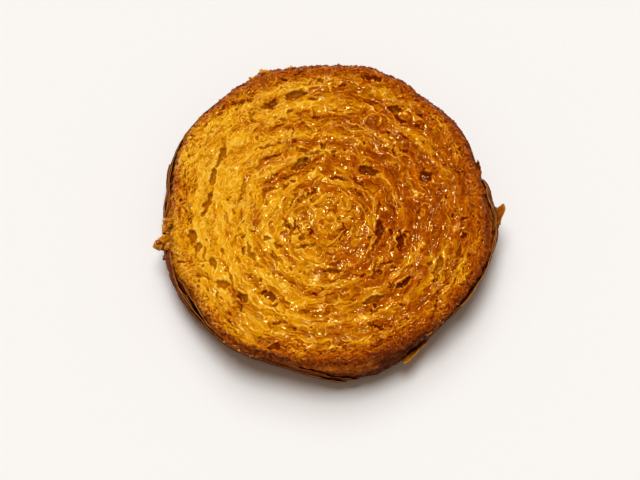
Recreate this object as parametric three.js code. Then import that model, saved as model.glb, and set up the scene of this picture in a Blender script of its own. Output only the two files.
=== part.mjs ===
// A caramelized croissant disc: a thick slice of a rolled croissant, baked flat with sugar and butter.
// It lies on its base, with the cut face of the roll up. Millimetres, +Z up, origin in the base's middle.
// The photograph's near side is -Y and its right side is +X. Angles run from +X towards +Y, in degrees.
import * as THREE from "three";

// ---- Driving dimensions ----
const THICKNESS = 15; // base to the mean level of the cut face
const FACE_RADIUS = 48.7; // mean radius of the cut face
const CRUST_OUT = 1.5; // the crust stands this far outside the face's rim, on average
const ROLL_CENTRE = { x: -1.2, y: -4.8 }; // where the roll starts, off the middle of the face
const TURN_PITCH = 7.2; // from one turn of the rolled dough to the next

// ---- Mesh fineness ----
const FACE_RINGS = 30;
const WALL_COLUMNS = 174;
const BASE_RINGS = 10;
const BASE_COLUMN_SPACING = 4.8;
const FEWEST_COLUMNS = 6; // round the innermost rings

// ---- Uneven outline: waves round the rim ----
// count: how many to a turn; by: height in mm; at: degrees of the first crest
const FACE_WAVES = [
  { count: 1, by: 1.47, at: 172 },
  { count: 2, by: 1.5, at: 93 },
  { count: 3, by: 0.73, at: 120 },
  { count: 4, by: 0.95, at: 59 },
  { count: 6, by: 0.26, at: 43 },
  { count: 7, by: 0.29, at: 34 },
  { count: 9, by: 0.53, at: 35 },
];
const CRUST_WAVES = [
  { count: 1, by: 0.77, at: 88 },
  { count: 2, by: 0.88, at: 175 },
  { count: 3, by: 0.5, at: 58 },
  { count: 4, by: 1.07, at: 12 },
  { count: 5, by: 0.68, at: 65 },
];

// ---- Gap between the crumb and the crust: at and spread in degrees, depth in mm ----
const GAPS = [
  { at: 203, spread: 17, depth: 2.6 }, // the crust curls away at the near left
  { at: 178, spread: 9, depth: 1.2 },
  { at: 272, spread: 14, depth: 2.0 }, // dark gap at the near side
  { at: 352, spread: 16, depth: 1.5 }, // behind the loose sheet at the right
];
const GAP_WIDTH = { least: 0.15, most: 1.1, perDepth: 0.5 }; // from the crumb's rim to the crust's lip
const GAP_FLOOR_SHARE = 0.45; // the gap's floor lies this far across it
const CRUST_LIP_DROP = 0.25; // the lip sinks by this share of the gap's depth

// ---- Loose sheets of crust round the wall, each from one angle to another ----
// topFrom and topTo: height of the sheet's free edge at its two ends; out: how far it stands off the wall
const WRAPS = [
  { from: 165, to: 284, topFrom: 13.4, topTo: 5.2, out: 1.3 }, // ends in a flake near the base
  { from: 197, to: 268, topFrom: 13.8, topTo: 9.6, out: 0.6 },
  { from: 256, to: 304, topFrom: 11.6, topTo: 10.2, out: 0.8 }, // ends in a flake at the near right
  { from: 322, to: 382, topFrom: 12.6, topTo: 13.2, out: 0.9 }, // starts free at the right
  { from: 20, to: 118, topFrom: 11.4, topTo: 12.4, out: 0.6 },
  { from: 112, to: 168, topFrom: 13.8, topTo: 13.4, out: 0.5 },
];
const WRAP_EDGE_WAVE = 0.7; // how much a free edge rises and falls
const WRAP_EDGE_SOFTNESS = 0.5; // height over which a sheet's edge steps back to the wall
const WRAP_END_SOFTNESS = 2.5; // degrees over which a sheet ends
const WRAP_TUCK = 3; // the sheets merge with the wall below this height

// ---- Crags and flakes that stand out of the outline: at and spread in degrees, the rest in mm ----
const CRAG_EDGE = 1.2; // height over which a crag fades into the wall
const CRAGS = [
  { at: 188.5, spread: 1.8, out: 1.5, low: 8.5, high: 15.2 }, // torn crumb at the left
  { at: 194.0, spread: 2.4, out: 1.6, low: 7.0, high: 14.4 },
  { at: 113.5, spread: 2.0, out: 2.0, low: 10.5, high: 15.6 }, // torn crumb at the far left
  { at: 121.0, spread: 1.7, out: 0.9, low: 11.0, high: 15.2 },
  { at: 1.0, spread: 2.6, out: 2.4, low: 8.5, high: 14.0 }, // curled flake at the right
  { at: 276.0, spread: 3.2, out: 1.0, low: 2.8, high: 6.8 }, // flake near the base
  { at: 303.0, spread: 3.0, out: 1.8, low: 6.0, high: 11.0 },
  { at: 310.0, spread: 2.2, out: 1.2, low: 9.5, high: 13.5 },
];

// ---- Open pockets in the cut face: place and size in mm; heading: degrees from +X ----
const POCKET_REACH = 0.62; // share of the length or width at which a pocket's side is steepest
const POCKETS = [
  { x: -9.3, y: 15.5, length: 6.0, width: 2.4, depth: 1.7, heading: 35 },
  { x: -33.4, y: 17.4, length: 6.0, width: 1.6, depth: 2.2, heading: 66 },
  { x: -35.6, y: 11.0, length: 5.6, width: 1.5, depth: 2.0, heading: 76 },
  { x: -36.9, y: 2.0, length: 8.0, width: 1.5, depth: 2.2, heading: 72 },
  { x: -40.9, y: -9.0, length: 4.4, width: 2.0, depth: 2.0, heading: 108 },
  { x: -34.8, y: -17.5, length: 3.2, width: 1.8, depth: 1.5, heading: 116 },
  { x: -31.9, y: -24.4, length: 3.8, width: 2.4, depth: 1.4, heading: 154 },
  { x: -25.5, y: -28.7, length: 4.2, width: 1.6, depth: 1.7, heading: 141 },
  { x: -18.2, y: -27.8, length: 4.2, width: 1.7, depth: 1.6, heading: 147 },
  { x: 12.6, y: -28.7, length: 7.0, width: 1.7, depth: 1.6, heading: 24 },
  { x: 21.3, y: -23.4, length: 4.6, width: 1.6, depth: 2.2, heading: 41 },
  { x: 31.4, y: -18.9, length: 8.0, width: 1.6, depth: 1.8, heading: 71 },
  { x: 20.6, y: -10.0, length: 5.6, width: 1.6, depth: 2.0, heading: 92 },
  { x: 14.3, y: -6.4, length: 5.2, width: 2.2, depth: 1.8, heading: 96 },
  { x: 11.0, y: 13.3, length: 5.4, width: 2.4, depth: 1.7, heading: 162 },
  { x: 28.1, y: 11.4, length: 3.4, width: 3.2, depth: 1.6, heading: 0 },
  { x: 19.2, y: 34.2, length: 4.8, width: 2.0, depth: 1.5, heading: 162 },
  { x: 11.9, y: 45.0, length: 4.8, width: 1.5, depth: 1.3, heading: 172 },
  { x: -11.3, y: 38.7, length: 6.6, width: 2.4, depth: 1.7, heading: 19 },
  { x: -18.9, y: 35.4, length: 5.0, width: 2.2, depth: 1.4, heading: 30 },
];

// ---- Relief of the cut face and the base ----
const FACE_SWELL = 0.45; // slow rise and fall of the face
const TURN_RELIEF = 0.25; // half the height of a turn over the seam beside it
const TURN_WANDER = 0.32; // how far a seam strays, in turns
const LAYER_RELIEF = 0.21; // half the height of the layers within a turn
const LAYERS_PER_TURN = 2; // as coarse as these facets can carry
const PLAIN_START = 5; // the first of the roll, which has no seam yet
const CRUMB_RELIEF = 0.35; // uneven crumb on top of that
const RIM_ROUND = 2.6; // the face bends down over this width at its rim
const RIM_DROP = 1.0;
const BASE_FOOT = 14; // radius of the plain flat spot in the middle of the base
const BASE_FOOT_FADE = 3; // the hollows begin over this width
const BASE_RELIEF = 1.0; // depth of the hollows between the base's flats

// Wall section from the rim to the base: heights, and how far the wall stands in there
const WALL_SECTION = [
  { z: 12.9, inward: 0.0 },
  { z: 12.2, inward: 0.0 },
  { z: 11.4, inward: 0.0 },
  { z: 10.4, inward: 0.0 },
  { z: 9.3, inward: 0.0 },
  { z: 8.2, inward: 0.0 },
  { z: 7.0, inward: 0.1 },
  { z: 5.6, inward: 0.3 },
  { z: 4.2, inward: 0.7 },
  { z: 2.8, inward: 1.3 },
  { z: 1.4, inward: 2.1 },
  { z: 0.4, inward: 3.0 },
];
const RIM_LEAN = { from: 10.5, to: 13.6 }; // between these heights the wall leans in to the crust's lip
const WALL_INSET = 0.8; // the wall under the loose sheets lies this far inside the crust's outline
const WALL_RELIEF = 0.35; // unevenness of the wall
const BASE_EDGE_INWARD = 4.2; // the base's edge stands this far inside the wall

const CRUST_COLOUR = new THREE.Color().setRGB(0.76, 0.44, 0.08, THREE.SRGBColorSpace);

// ---- Small maths ----
const radians = THREE.MathUtils.degToRad;
const degrees = THREE.MathUtils.radToDeg;

function smoothStep(t) {
  const c = Math.min(1, Math.max(0, t));
  return c * c * (3 - 2 * c);
}

// Signed difference of two angles, in degrees, from -180 to 180.
function angleGap(a, b) {
  return ((((a - b + 180) % 360) + 360) % 360) - 180;
}

// A seeded number from 0 to 1 for each corner of the noise grid.
function cornerValue(ix, iy, iz, seed) {
  let n = Math.imul(ix, 374761393) + Math.imul(iy, 668265263) + Math.imul(iz, 1442695041) + seed;
  n = Math.imul(n ^ (n >>> 13), 1274126177);
  return ((n ^ (n >>> 16)) >>> 0) / 4294967296;
}

// Smooth noise from -1 to 1, with features about one unit across.
function noise(x, y, z, seed) {
  const [ix, iy, iz] = [Math.floor(x), Math.floor(y), Math.floor(z)];
  const [fx, fy, fz] = [x - ix, y - iy, z - iz].map(smoothStep);
  let sum = 0;
  for (const dx of [0, 1])
    for (const dy of [0, 1])
      for (const dz of [0, 1]) {
        const weight = (dx ? fx : 1 - fx) * (dy ? fy : 1 - fy) * (dz ? fz : 1 - fz);
        sum += weight * cornerValue(ix + dx, iy + dy, iz + dz, seed);
      }
  return 2 * sum - 1;
}

// ---- Outline ----
function waves(angle, list) {
  return list.reduce((sum, wave) => sum + wave.by * Math.cos(radians(wave.count * (angle - wave.at))), 0);
}

function faceRadius(angle) {
  return FACE_RADIUS + waves(angle, FACE_WAVES);
}

function wallRadius(angle) {
  return faceRadius(angle) + CRUST_OUT + waves(angle, CRUST_WAVES);
}

// ---- Cut face ----
// Place of a point in the roll: distance from its start, as if it were round, and the number of the turn.
function rollPlace(x, y) {
  const angle = degrees(Math.atan2(y, x));
  const share = Math.min(1, Math.hypot(x, y) / faceRadius(angle));
  const qx = x - ROLL_CENTRE.x * (1 - share * share);
  const qy = y - ROLL_CENTRE.y * (1 - share * share);
  const around = Math.atan2(qy, qx);
  const out = Math.hypot(qx, qy);
  const wander = TURN_WANDER * noise(x / 13, y / 13, out / 6, 11);
  return { out, turn: out / TURN_PITCH - around / (2 * Math.PI) + wander };
}

// Depth of the named pockets at a point.
function pocketDepth(x, y) {
  let depth = 0;
  for (const p of POCKETS) {
    const along = radians(p.heading);
    const [dx, dy] = [x - p.x, y - p.y];
    const u = (dx * Math.cos(along) + dy * Math.sin(along)) / (p.length * POCKET_REACH);
    const v = (-dx * Math.sin(along) + dy * Math.cos(along)) / (p.width * POCKET_REACH);
    depth = Math.max(depth, p.depth * Math.exp(-((u * u + v * v) ** 2)));
  }
  return depth;
}

function faceHeight(x, y) {
  const angle = degrees(Math.atan2(y, x));
  const fromRim = faceRadius(angle) - Math.hypot(x, y);
  const { out, turn } = rollPlace(x, y);
  const fade = smoothStep(out / PLAIN_START);
  const swell = FACE_SWELL * noise(x / 21, y / 21, 0.5, 3);
  const turns = TURN_RELIEF * fade * Math.cos(2 * Math.PI * turn);
  const layers = LAYER_RELIEF * fade * Math.cos(2 * Math.PI * turn * LAYERS_PER_TURN);
  const crumb = CRUMB_RELIEF * noise(x / 4.2, y / 4.2, out / 2.4, 5);
  const rim = RIM_DROP * (1 - smoothStep(fromRim / RIM_ROUND)) ** 2;
  return THICKNESS + swell + turns + layers + crumb - rim - pocketDepth(x, y);
}

// ---- Gap between crumb and crust ----
function gapDepth(angle) {
  const depthOf = (gap) => gap.depth * Math.exp(-((angleGap(angle, gap.at) / gap.spread) ** 2));
  return GAPS.reduce((sum, gap) => sum + depthOf(gap), 0);
}

function gapWidth(angle) {
  return Math.min(GAP_WIDTH.most, GAP_WIDTH.least + GAP_WIDTH.perDepth * gapDepth(angle));
}

// A point of the gap's floor, or of the crust's lip beyond it.
function gapPoint(angle, onLip) {
  const t = radians(angle);
  const depth = gapDepth(angle);
  const r = faceRadius(angle) + gapWidth(angle) * (onLip ? 1 : GAP_FLOOR_SHARE);
  const sink = onLip ? CRUST_LIP_DROP * depth : depth;
  return new THREE.Vector3(r * Math.cos(t), r * Math.sin(t), THICKNESS - RIM_DROP - 0.1 - sink);
}

// ---- Wall ----
// How much of a sheet of crust is there at an angle, from 0 to 1.
function wrapShare(wrap, angle) {
  const middle = (wrap.from + wrap.to) / 2;
  const half = (wrap.to - wrap.from) / 2;
  return smoothStep((half - Math.abs(angleGap(angle, middle))) / WRAP_END_SOFTNESS);
}

// Height of a sheet's free edge.
function wrapTop(wrap, angle) {
  const t = radians(angle);
  const middle = (wrap.from + wrap.to) / 2;
  const share = angleGap(angle, middle) / (wrap.to - wrap.from) + 0.5;
  const level = wrap.topFrom + (wrap.topTo - wrap.topFrom) * Math.min(1, Math.max(0, share));
  return level + WRAP_EDGE_WAVE * noise(4.1 * Math.cos(t), 4.1 * Math.sin(t), wrap.topFrom, 17);
}

function wrapsOut(angle, z) {
  let out = 0;
  for (const wrap of WRAPS) {
    const under = smoothStep((wrapTop(wrap, angle) - z) / WRAP_EDGE_SOFTNESS);
    out += wrap.out * wrapShare(wrap, angle) * under;
  }
  return out * smoothStep(z / WRAP_TUCK);
}

function cragsOut(angle, z) {
  let out = 0;
  for (const crag of CRAGS) {
    const across = Math.exp(-((angleGap(angle, crag.at) / crag.spread) ** 2));
    const middle = (crag.low + crag.high) / 2;
    const half = (crag.high - crag.low) / 2;
    out += crag.out * across * smoothStep((half - Math.abs(z - middle)) / CRAG_EDGE);
  }
  return out;
}

function wallPoint(angle, { z, inward }) {
  const t = radians(angle);
  const lean = smoothStep((z - RIM_LEAN.from) / (RIM_LEAN.to - RIM_LEAN.from));
  const lip = faceRadius(angle) + gapWidth(angle);
  const body = (wallRadius(angle) - WALL_INSET) * (1 - lean) + lip * lean;
  const rough = (1 - lean) * WALL_RELIEF * noise(14 * Math.cos(t), 14 * Math.sin(t), z / 2.6, 23);
  const r = body - inward + rough + wrapsOut(angle, z) + cragsOut(angle, z);
  return new THREE.Vector3(r * Math.cos(t), r * Math.sin(t), z);
}

// ---- Base ----
function baseHeight(x, y) {
  const r = Math.hypot(x, y);
  const hollow = noise(x / 7.5, y / 7.5, r / 6, 31) - 0.05;
  return BASE_RELIEF * smoothStep((r - BASE_FOOT) / BASE_FOOT_FADE) * Math.max(0, hollow);
}

// ---- Mesh ----
// Rings of points, each a list that runs once round, are sewn into one closed skin.
const points = [];
const faces = [];

function pointOnRing(angle, r, heightAt) {
  const x = r * Math.cos(radians(angle));
  const y = r * Math.sin(radians(angle));
  return new THREE.Vector3(x, y, heightAt(x, y));
}

function addRing(count, pointAt) {
  const ring = [];
  for (let i = 0; i < count; i++) {
    const p = pointAt((360 * i) / count);
    ring.push(points.length / 3);
    points.push(p.x, p.y, p.z);
  }
  return ring;
}

// Sews ring a to ring b, where b comes after a on the way from the cut face's middle to the base's middle.
function sew(a, b) {
  for (let i = 0; i < a.length; i++) {
    const apex = Math.floor((b.length * (i + 0.5)) / a.length + 0.5) % b.length;
    faces.push(a[i], b[apex], a[(i + 1) % a.length]);
  }
  for (let j = 0; j < b.length; j++) {
    const apex = Math.ceil((a.length * (j + 0.5)) / b.length - 0.5) % a.length;
    faces.push(b[j], b[(j + 1) % b.length], a[apex]);
  }
}

function faceRings() {
  const rings = [];
  for (let i = 1; i <= FACE_RINGS; i++) {
    const share = i / FACE_RINGS;
    const count = Math.max(FEWEST_COLUMNS, Math.round(WALL_COLUMNS * share));
    rings.push(addRing(count, (angle) => pointOnRing(angle, share * faceRadius(angle), faceHeight)));
  }
  return rings;
}

function wallRings() {
  const gapRings = [false, true].map((onLip) => addRing(WALL_COLUMNS, (angle) => gapPoint(angle, onLip)));
  const sideRings = WALL_SECTION.map((row) => addRing(WALL_COLUMNS, (angle) => wallPoint(angle, row)));
  return [...gapRings, ...sideRings];
}

function baseRings() {
  const rings = [];
  const meanRadius = FACE_RADIUS + CRUST_OUT - BASE_EDGE_INWARD;
  for (let i = BASE_RINGS; i >= 1; i--) {
    const share = i / BASE_RINGS;
    const columns = Math.round((2 * Math.PI * meanRadius * share) / BASE_COLUMN_SPACING);
    const count = Math.max(FEWEST_COLUMNS, columns);
    const heightAt = i === BASE_RINGS ? () => 0 : baseHeight;
    const radiusAt = (angle) => share * (wallRadius(angle) - BASE_EDGE_INWARD);
    rings.push(addRing(count, (angle) => pointOnRing(angle, radiusAt(angle), heightAt)));
  }
  return rings;
}

function closeWithFan(ring, apex, upward) {
  const tip = points.length / 3;
  points.push(apex.x, apex.y, apex.z);
  for (let i = 0; i < ring.length; i++) {
    const next = ring[(i + 1) % ring.length];
    if (upward) faces.push(tip, ring[i], next);
    else faces.push(tip, next, ring[i]);
  }
}

function discGeometry() {
  const rings = [...faceRings(), ...wallRings(), ...baseRings()];
  for (let i = 0; i + 1 < rings.length; i++) sew(rings[i], rings[i + 1]);
  closeWithFan(rings[0], new THREE.Vector3(0, 0, faceHeight(0, 0)), true);
  closeWithFan(rings[rings.length - 1], new THREE.Vector3(0, 0, 0), false);
  const geometry = new THREE.BufferGeometry();
  geometry.setAttribute("position", new THREE.Float32BufferAttribute(points, 3));
  geometry.setIndex(faces);
  geometry.computeVertexNormals();
  return geometry;
}

const material = new THREE.MeshStandardMaterial({
  color: CRUST_COLOUR,
  roughness: 0.45,
  metalness: 0,
  flatShading: true,
});
const disc = new THREE.Mesh(discGeometry(), material);
disc.name = "croissant_disc";

const part = new THREE.Group();
part.add(disc);
export default part;
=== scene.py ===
"""Caramelized croissant disc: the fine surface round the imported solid, with floor, light and camera.

The disc is a thick slice of a rolled croissant. Its cut face, up, is an open crumb of thin glazed skins
and strands, wound in turns. Loose sheets of brown crust stand round its side, and torn crumb hangs out
at its rim.
Shapes are worked out in millimetres, in the solid's own frame, and made in metres. Angles are in degrees,
from +X.
"""

import itertools
import math
from types import SimpleNamespace

import bpy
import numpy as np
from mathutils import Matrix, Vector


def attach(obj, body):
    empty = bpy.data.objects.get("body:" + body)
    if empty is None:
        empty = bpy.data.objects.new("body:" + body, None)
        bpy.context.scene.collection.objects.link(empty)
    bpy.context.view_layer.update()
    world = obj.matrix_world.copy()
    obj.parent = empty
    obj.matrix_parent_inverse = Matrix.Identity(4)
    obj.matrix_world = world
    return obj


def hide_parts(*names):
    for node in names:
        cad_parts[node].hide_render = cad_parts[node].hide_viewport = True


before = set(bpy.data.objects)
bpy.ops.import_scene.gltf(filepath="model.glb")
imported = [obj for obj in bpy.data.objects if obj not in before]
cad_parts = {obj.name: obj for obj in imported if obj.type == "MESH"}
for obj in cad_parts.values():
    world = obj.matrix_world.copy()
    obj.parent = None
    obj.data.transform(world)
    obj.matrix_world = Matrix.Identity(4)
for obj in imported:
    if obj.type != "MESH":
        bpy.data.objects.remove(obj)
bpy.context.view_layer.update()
NODE = "croissant_disc"
MM = 0.001

# ---- The solid's own form, in millimetres ----
THICKNESS = 15.0
FACE_RADIUS = 48.7
CRUST_OUT = 1.5
ROLL_CENTRE = (-1.2, -4.8)
TURN_PITCH = 7.2
LOOSE_START = 12.0  # within about this radius the turns are loose
# waves round the rim: how many to a turn, height, degrees of the first crest
FACE_WAVES = (
    (1, 1.47, 172), (2, 1.5, 93), (3, 0.73, 120), (4, 0.95, 59), (6, 0.26, 43), (7, 0.29, 34), (9, 0.53, 35),
)
CRUST_WAVES = ((1, 0.77, 88), (2, 0.88, 175), (3, 0.5, 58), (4, 1.07, 12), (5, 0.68, 65))
RIM_ROUND = 2.6
RIM_DROP = 1.0
# the gap between crumb and crust: middle and spread in degrees, depth
GAPS = ((203, 17, 2.6), (178, 9, 1.2), (272, 14, 2.0), (352, 16, 1.5))
GAP_LEAST, GAP_MOST, GAP_PER_DEPTH = 0.15, 1.1, 0.5
GAP_FLOOR_SHARE = 0.45
LIP_DROP = 0.25
WALL_INSET = 0.8
LEAN_FROM, LEAN_TO = 10.5, 13.6
# wall section: height, how far the wall stands in there
WALL_SECTION = (
    (0.0, 4.2), (0.4, 3.0), (1.4, 2.1), (2.8, 1.3), (4.2, 0.7), (5.6, 0.3), (7.0, 0.1), (8.2, 0.0),
)
BASE_EDGE_INWARD = 4.2
BASE_HOLLOW_DEPTH = 1.2
BASE_FLAT_FROM = 44.0  # the base is flat from this radius out
MEAN_RADIUS = 50.0

# ---- Fineness ----
FACE_STEP = 0.165  # between the points of the cut face
GRID_STEP = 0.15  # of the square grid on which the crumb is worked out
GRID_HALF = 54.0
INNER_SHARE = 0.55  # the face is made as three pieces that meet at these shares of its radius
MIDDLE_SHARE = 0.8
WALL_COLUMNS = 1500
WALL_ROWS = 40
BASE_STEP = 0.6

# ---- Noise layers: amount, length in mm along the turns, the one across them, start, seed ----
FLAT = math.inf  # the length across of a layer that doesn't change across the turns
BEND_X = ((2.4, 7, FLAT, 0.5, 1), (1.1, 2.6, FLAT, 0.5, 2))
BEND_Y = ((2.4, 7, FLAT, 9.5, 3), (1.1, 2.6, FLAT, 9.5, 4))
BEND_OUT = ((2.4, 6, FLAT, 4.5, 5), (1.0, 2.3, FLAT, 4.5, 6))
BEND_START = ((3.5, 3.5, FLAT, 8.5, 7),)
BEND_TURNS = ((0.32, 13, 6, 0, 11),)
BEND_SEAMS = ((0.3, 3, FLAT, 0.5, 13),)
BEND_PORES = ((1.2, 2, FLAT, 0.5, 64),)
TEAR_X = ((0.9, 1.5, FLAT, 0.5, 71), (0.4, 0.55, FLAT, 0.5, 72))
TEAR_Y = ((0.9, 1.5, FLAT, 7.5, 73), (0.4, 0.55, FLAT, 7.5, 74))
CRUMBLE = ((0.12, 1.1, 0.7, 0, 37),)
FACE_SWELL = ((0.45, 21, FLAT, 0.5, 3), (0.3, 5, 3, 0, 12))
SYRUP_SPREAD = ((0.3, 5, 3, 0, 43),)
SYRUP_WOBBLE = (
    (0.18, 4, 1.4, 0, 50), (0.09, 2, 0.8, 0, 44), (0.045, 0.8, 0.5, 0, 45), (0.03, 0.45, 0.4, 0, 48),
)
TONE_NOISE = ((0.15, 4, 1.2, 0, 46), (0.09, 1.5, 0.7, 0, 47), (0.17, 0.6, 0.45, 0, 49))
BROWN_NOISE = ((0.6, 6, 2, 0, 41), (0.3, 2.4, 0.9, 0, 42))
BASE_HOLLOWS = ((1, 7.5, 6, 0, 31),)
BASE_TONE = ((0.3, 3, FLAT, 0.5, 61),)
# patches: a level, and the layer round it
SEAM_PATCHES = (-0.1, (3, 5, 3, 0, 14))
GRAIN_PATCHES = (0.35, (1.6, 6, FLAT, 2.5, 24))
TORN_PATCHES = (0.45, (2, 2.4, FLAT, 6.5, 25))
LONG_PATCHES = (0, (2.2, 3, FLAT, 1.5, 35))
CROSS_PATCHES = (0, (2.5, 4, FLAT, 3.5, 36))
PORE_PATCHES = (0.6, (1.6, 3.5, FLAT, 5.5, 65))
# threads: amount, length along the turns and across them, width, seed
FIBRES = ((1, 1.5, 0.8, 0.13, 61), (1, 1.1, 1.3, 0.15, 62), (0.7, 0.7, 0.5, 0.2, 63))
LONG_THREADS = ((1, 3.2, 1.4, 0.09, 31),)
# the same round the roll's centre, where the length is a share of the distance from it
CROSS_THREADS = ((1, 1 / 10, 6, 0.06, 32),)
RADIAL_THREADS = ((1, 1 / 45, 3, 0.14, 34),)
# layers round the side: amount, fineness round it, height in mm, seed
RIM_JAG = ((0.6, 15, 2.2, 51), (0.6, 38, 1.0, 52), (0.4, 80, 0.6, 53))
WALL_ROUGH = ((0.35, 14, 2.6, 23), (0.3, 42, 1.1, 24), (0.3, 5, 0.75, 26))
WALL_TONE = ((0.4, 24, 0.9, 25), (0.25, 5, 0.75, 26), (0.25, 60, 0.6, 27))
SHEET_EDGE = ((0.7, 4.1, 1, 17),)
SHEET_EDGE_FINE = ((0.45, 12, 1, 18), (0.3, 34, 1, 19), (0.14, 90, 1, 20))
SHEET_ENDS = ((0.25, 60, 1, 16),)
SHEET_FOOT = ((0.3, 9, 1, 15),)
SHEET_LOOSE = ((0.5, 5, 1, 14),)
SHEET_RIPPLE = ((0.2, 11, 4, 13), (0.16, 30, 1.1, 12), (0.12, 8, 0.6, 11))
SHEET_GRAIN = ((0.14, 45, 0.5, 66), (0.12, 9, 2, 67), (0.12, 6, 0.35, 68))
# layers of a flake: amount, fineness along it, fineness up it, seed
FLAKE_TORN = ((0.25, 2.3, 2, 81), (0.12, 6, 5, 82))
FLAKE_WAVE = ((0.2, 2.4, 2.4, 83),)
FLAKE_GRAIN = ((0.2, 4, 4, 84),)

# ---- Open pockets in the cut face: x, y, length, width, depth, heading ----
POCKETS = (
    (-9.3, 15.5, 6, 2.4, 1.7, 35), (-33.4, 17.4, 6, 1.6, 2.2, 66), (-35.6, 11, 5.6, 1.5, 2, 76),
    (-36.9, 2, 8, 1.5, 2.2, 72), (-40.9, -9, 4.4, 2, 2, 108), (-34.8, -17.5, 3.2, 1.8, 1.5, 116),
    (-31.9, -24.4, 3.8, 2.4, 1.4, 154), (-25.5, -28.7, 4.2, 1.6, 1.7, 141),
    (-18.2, -27.8, 4.2, 1.7, 1.6, 147), (12.6, -28.7, 7, 1.7, 1.6, 24),
    (21.3, -23.4, 4.6, 1.6, 2.2, 41), (31.4, -18.9, 8, 1.6, 1.8, 71), (20.6, -10, 5.6, 1.6, 2, 92),
    (14.3, -6.4, 5.2, 2.2, 1.8, 96), (11, 13.3, 5.4, 2.4, 1.7, 162), (28.1, 11.4, 3.4, 3.2, 1.6, 0),
    (19.2, 34.2, 4.8, 2, 1.5, 162), (11.9, 45, 4.8, 1.5, 1.3, 172), (-11.3, 38.7, 6.6, 2.4, 1.7, 19),
    (-18.9, 35.4, 5, 2.2, 1.4, 30),
)
# smaller holes that the solid leaves out
HOLES = (
    (-11.3, -6.4, 8, 0.5, 1.2, 78), (-19, -9.4, 1.9, 1.6, 1.5, 60), (-8.6, -9, 1.7, 1.6, 1.4, 0),
    (-25.7, -13.6, 1.9, 1.3, 1.3, 80), (-29.6, -22.2, 9, 0.6, 1, 111), (3.1, 42.5, 1.9, 1.2, 1.1, 0),
    (39.3, -2.3, 1.9, 1.4, 1.4, 40), (36.2, -1.3, 1.6, 1, 1.1, 90), (-16, -43.9, 3.1, 2.2, 1.4, 20),
    (-39, -12.4, 2.4, 1.4, 1.5, 70),
)
POCKET_SHARE = 0.65
POCKET_SHARPNESS = 1.8
OPENING_HALF = 0.55  # half an opening's length and width, as a share of those in its table
# slits and small holes by a seeded draw: how many; the span of each measure; how far their headings stray
SEEDED_WITHIN = 46.5
SEEDED_SHARPNESS = 1.5
SLITS, HOLES_BY_DRAW = 70, 110
SLIT_LENGTH, SLIT_WIDTH, SLIT_DEPTH, SLIT_STRAY = (2.2, 6.5), (0.45, 1.2), (0.3, 0.8), 24
HOLE_WIDTH, HOLE_LONGER, HOLE_DEPTH, HOLE_STRAY = (0.45, 1.3), (1, 1.8), (0.35, 0.9), 40

# ---- Bare crumb, in millimetres before RELIEF_SHARE ----
RELIEF_SHARE = 0.35
TURNS_FROM, TURNS_OVER = 4, 14  # the turns set in from this radius, over this distance
RIM_ZONE, RIM_ZONE_FADE = 7, 4
DRY_MOST, DRY_LEAN, DRY_FROM, DRY_OVER = 0.85, 0.35, 10, 24  # the dry crumb on the left
# cells: length along the turns, width across them, seed
BIG_CELLS, MID_CELLS, FINE_CELLS = (6.4, 2.4, 21), (3.0, 1.45, 22), (1.3, 0.85, 23)
PORE_CELLS = (1.5, 0.56, 26)
# their depth, and how far in their slopes reach
BIG_HOLLOW, MID_HOLLOW, FINE_HOLLOW = (1.1, 1.1), (0.62, 0.6), (0.4, 0.3)
BIG_PICKED = 1.5  # power that leaves more of the big cells shallow
BIG_TILT, MID_TILT = 0.22, 0.2
DRY_FLATTER, DRY_FLATTER_FINE = 0.6, 0.4
# the skins between the cells: height, half width
BIG_SKIN, MID_SKIN, FINE_SKIN = (0.2, 0.24), (0.17, 0.2), (0.1, 0.15)
FIBRE_HEIGHT, DRY_FIBRE_HEIGHT = 0.08, 0.17
LONG_HEIGHT, CROSS_HEIGHT, RADIAL_HEIGHT = 0.22, 0.2, 0.2
SEAMS_A_TURN, SEAM_WIDTH, SEAM_DEPTH = 2, 0.09, 0.45
PORE_DEPTH, PORE_WALL, PORE_PICK, PORE_SOFT = 1.3, 0.06, 0.6, 0.1
PORE_ZONE, PORE_ZONE_FADE = 8.5, 3
TURN_HEIGHT = 0.22

# ---- Syrup that has run into the low parts of the crumb and set ----
SYRUP_LEVEL, SYRUP_LESS_DRY = 0.18, 0.4
SYRUP_SMOOTH, SYRUP_MENISCUS, SYRUP_FULL = 1.3, 0.07, 0.35
FACE_LEVEL = 6  # the face is level at this scale, but for its swell

# ---- Colour of the crumb: how much each feature adds to its tone (paler) and to its browning ----
TONE_BASE = 0.49
# the ridge and swell weights paint shade: darker hollows, paler ridges
TONE_WEIGHTS = dict(
    cavity_shade=0.12, dry_cavity_shade=-0.02, swell=0.03, syrup=-0.12, rightward_browning_and_shade=-0.0011, pale_skins_and_highlight=0.2,
    dry_pale_skins_and_highlight=-0.12, dry_fibres=0.07, band=0.04, caramel_and_shadow_outlines=-0.12, rim_shade=-0.12, front_shade=-0.19,
)
BROWN_BASE = 0.5
# the pores weight is painted shade that browns the slits near the rim
BROWN_WEIGHTS = dict(
    pick=0.5, seam=0.5, syrup=0.25, band=-0.17, caramel_and_shadow_outlines=0.6, pale_skins_and_highlight=-0.3, dry_fibres=-0.25,
    rim_brown=0.85, front_shade_browning=0.4, pores=0.6,
)
BROWN_AND_SHADE_SLOPE = 0.0138  # the crumb darkens this much for each millimetre towards the heading on the next line: partly real browning, partly painted shade
BROWN_AND_SHADE_HEADING = 20.0
BROWN_AND_SHADE_REACH = 24
TOAST_WEIGHT, TOAST_FROM, TOAST_REACH = 0.36, 0.3, 1.5
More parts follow.
